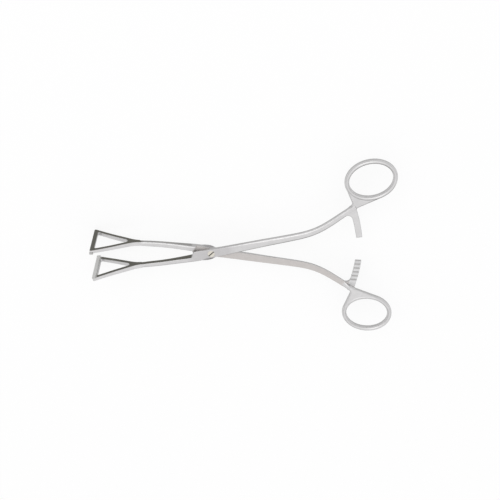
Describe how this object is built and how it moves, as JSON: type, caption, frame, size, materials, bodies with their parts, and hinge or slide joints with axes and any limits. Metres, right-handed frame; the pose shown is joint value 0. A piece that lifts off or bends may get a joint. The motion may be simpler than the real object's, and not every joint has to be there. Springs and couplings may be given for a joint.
{
  "type": "tissue forceps",
  "caption": "Ring-handled tissue forceps with two triangular windowed jaws, a screw lap joint, half-round shanks, a ratchet and two finger rings, standing part open.",
  "frame": {"origin": "on the pivot axis, at the flat back face of the joint", "axes": "+X along the instrument from the jaws to the finger rings, midway between the two halves; +Z along the pivot axis, from the rear half to the screw's head; +Y to the front half's ring"},
  "size_m": [0.1968, 0.1286, 0.0283],
  "materials": {
    "satin_steel": "satin, glass-bead blasted",
    "screw_steel": "turned and lightly polished"
  },
  "bodies": {
    "rear": {"rear_half": "satin_steel", "pivot_screw": "screw_steel"},
    "front": {"front_half": "satin_steel"}
  },
  "joints": [
    {"name": "jaw_pivot", "type": "hinge", "parent": "rear", "child": "front", "pos_m": [0, 0, 0.0024], "axis": [0, 0, 1], "range_deg": [-12.56, 40]}
  ]
}
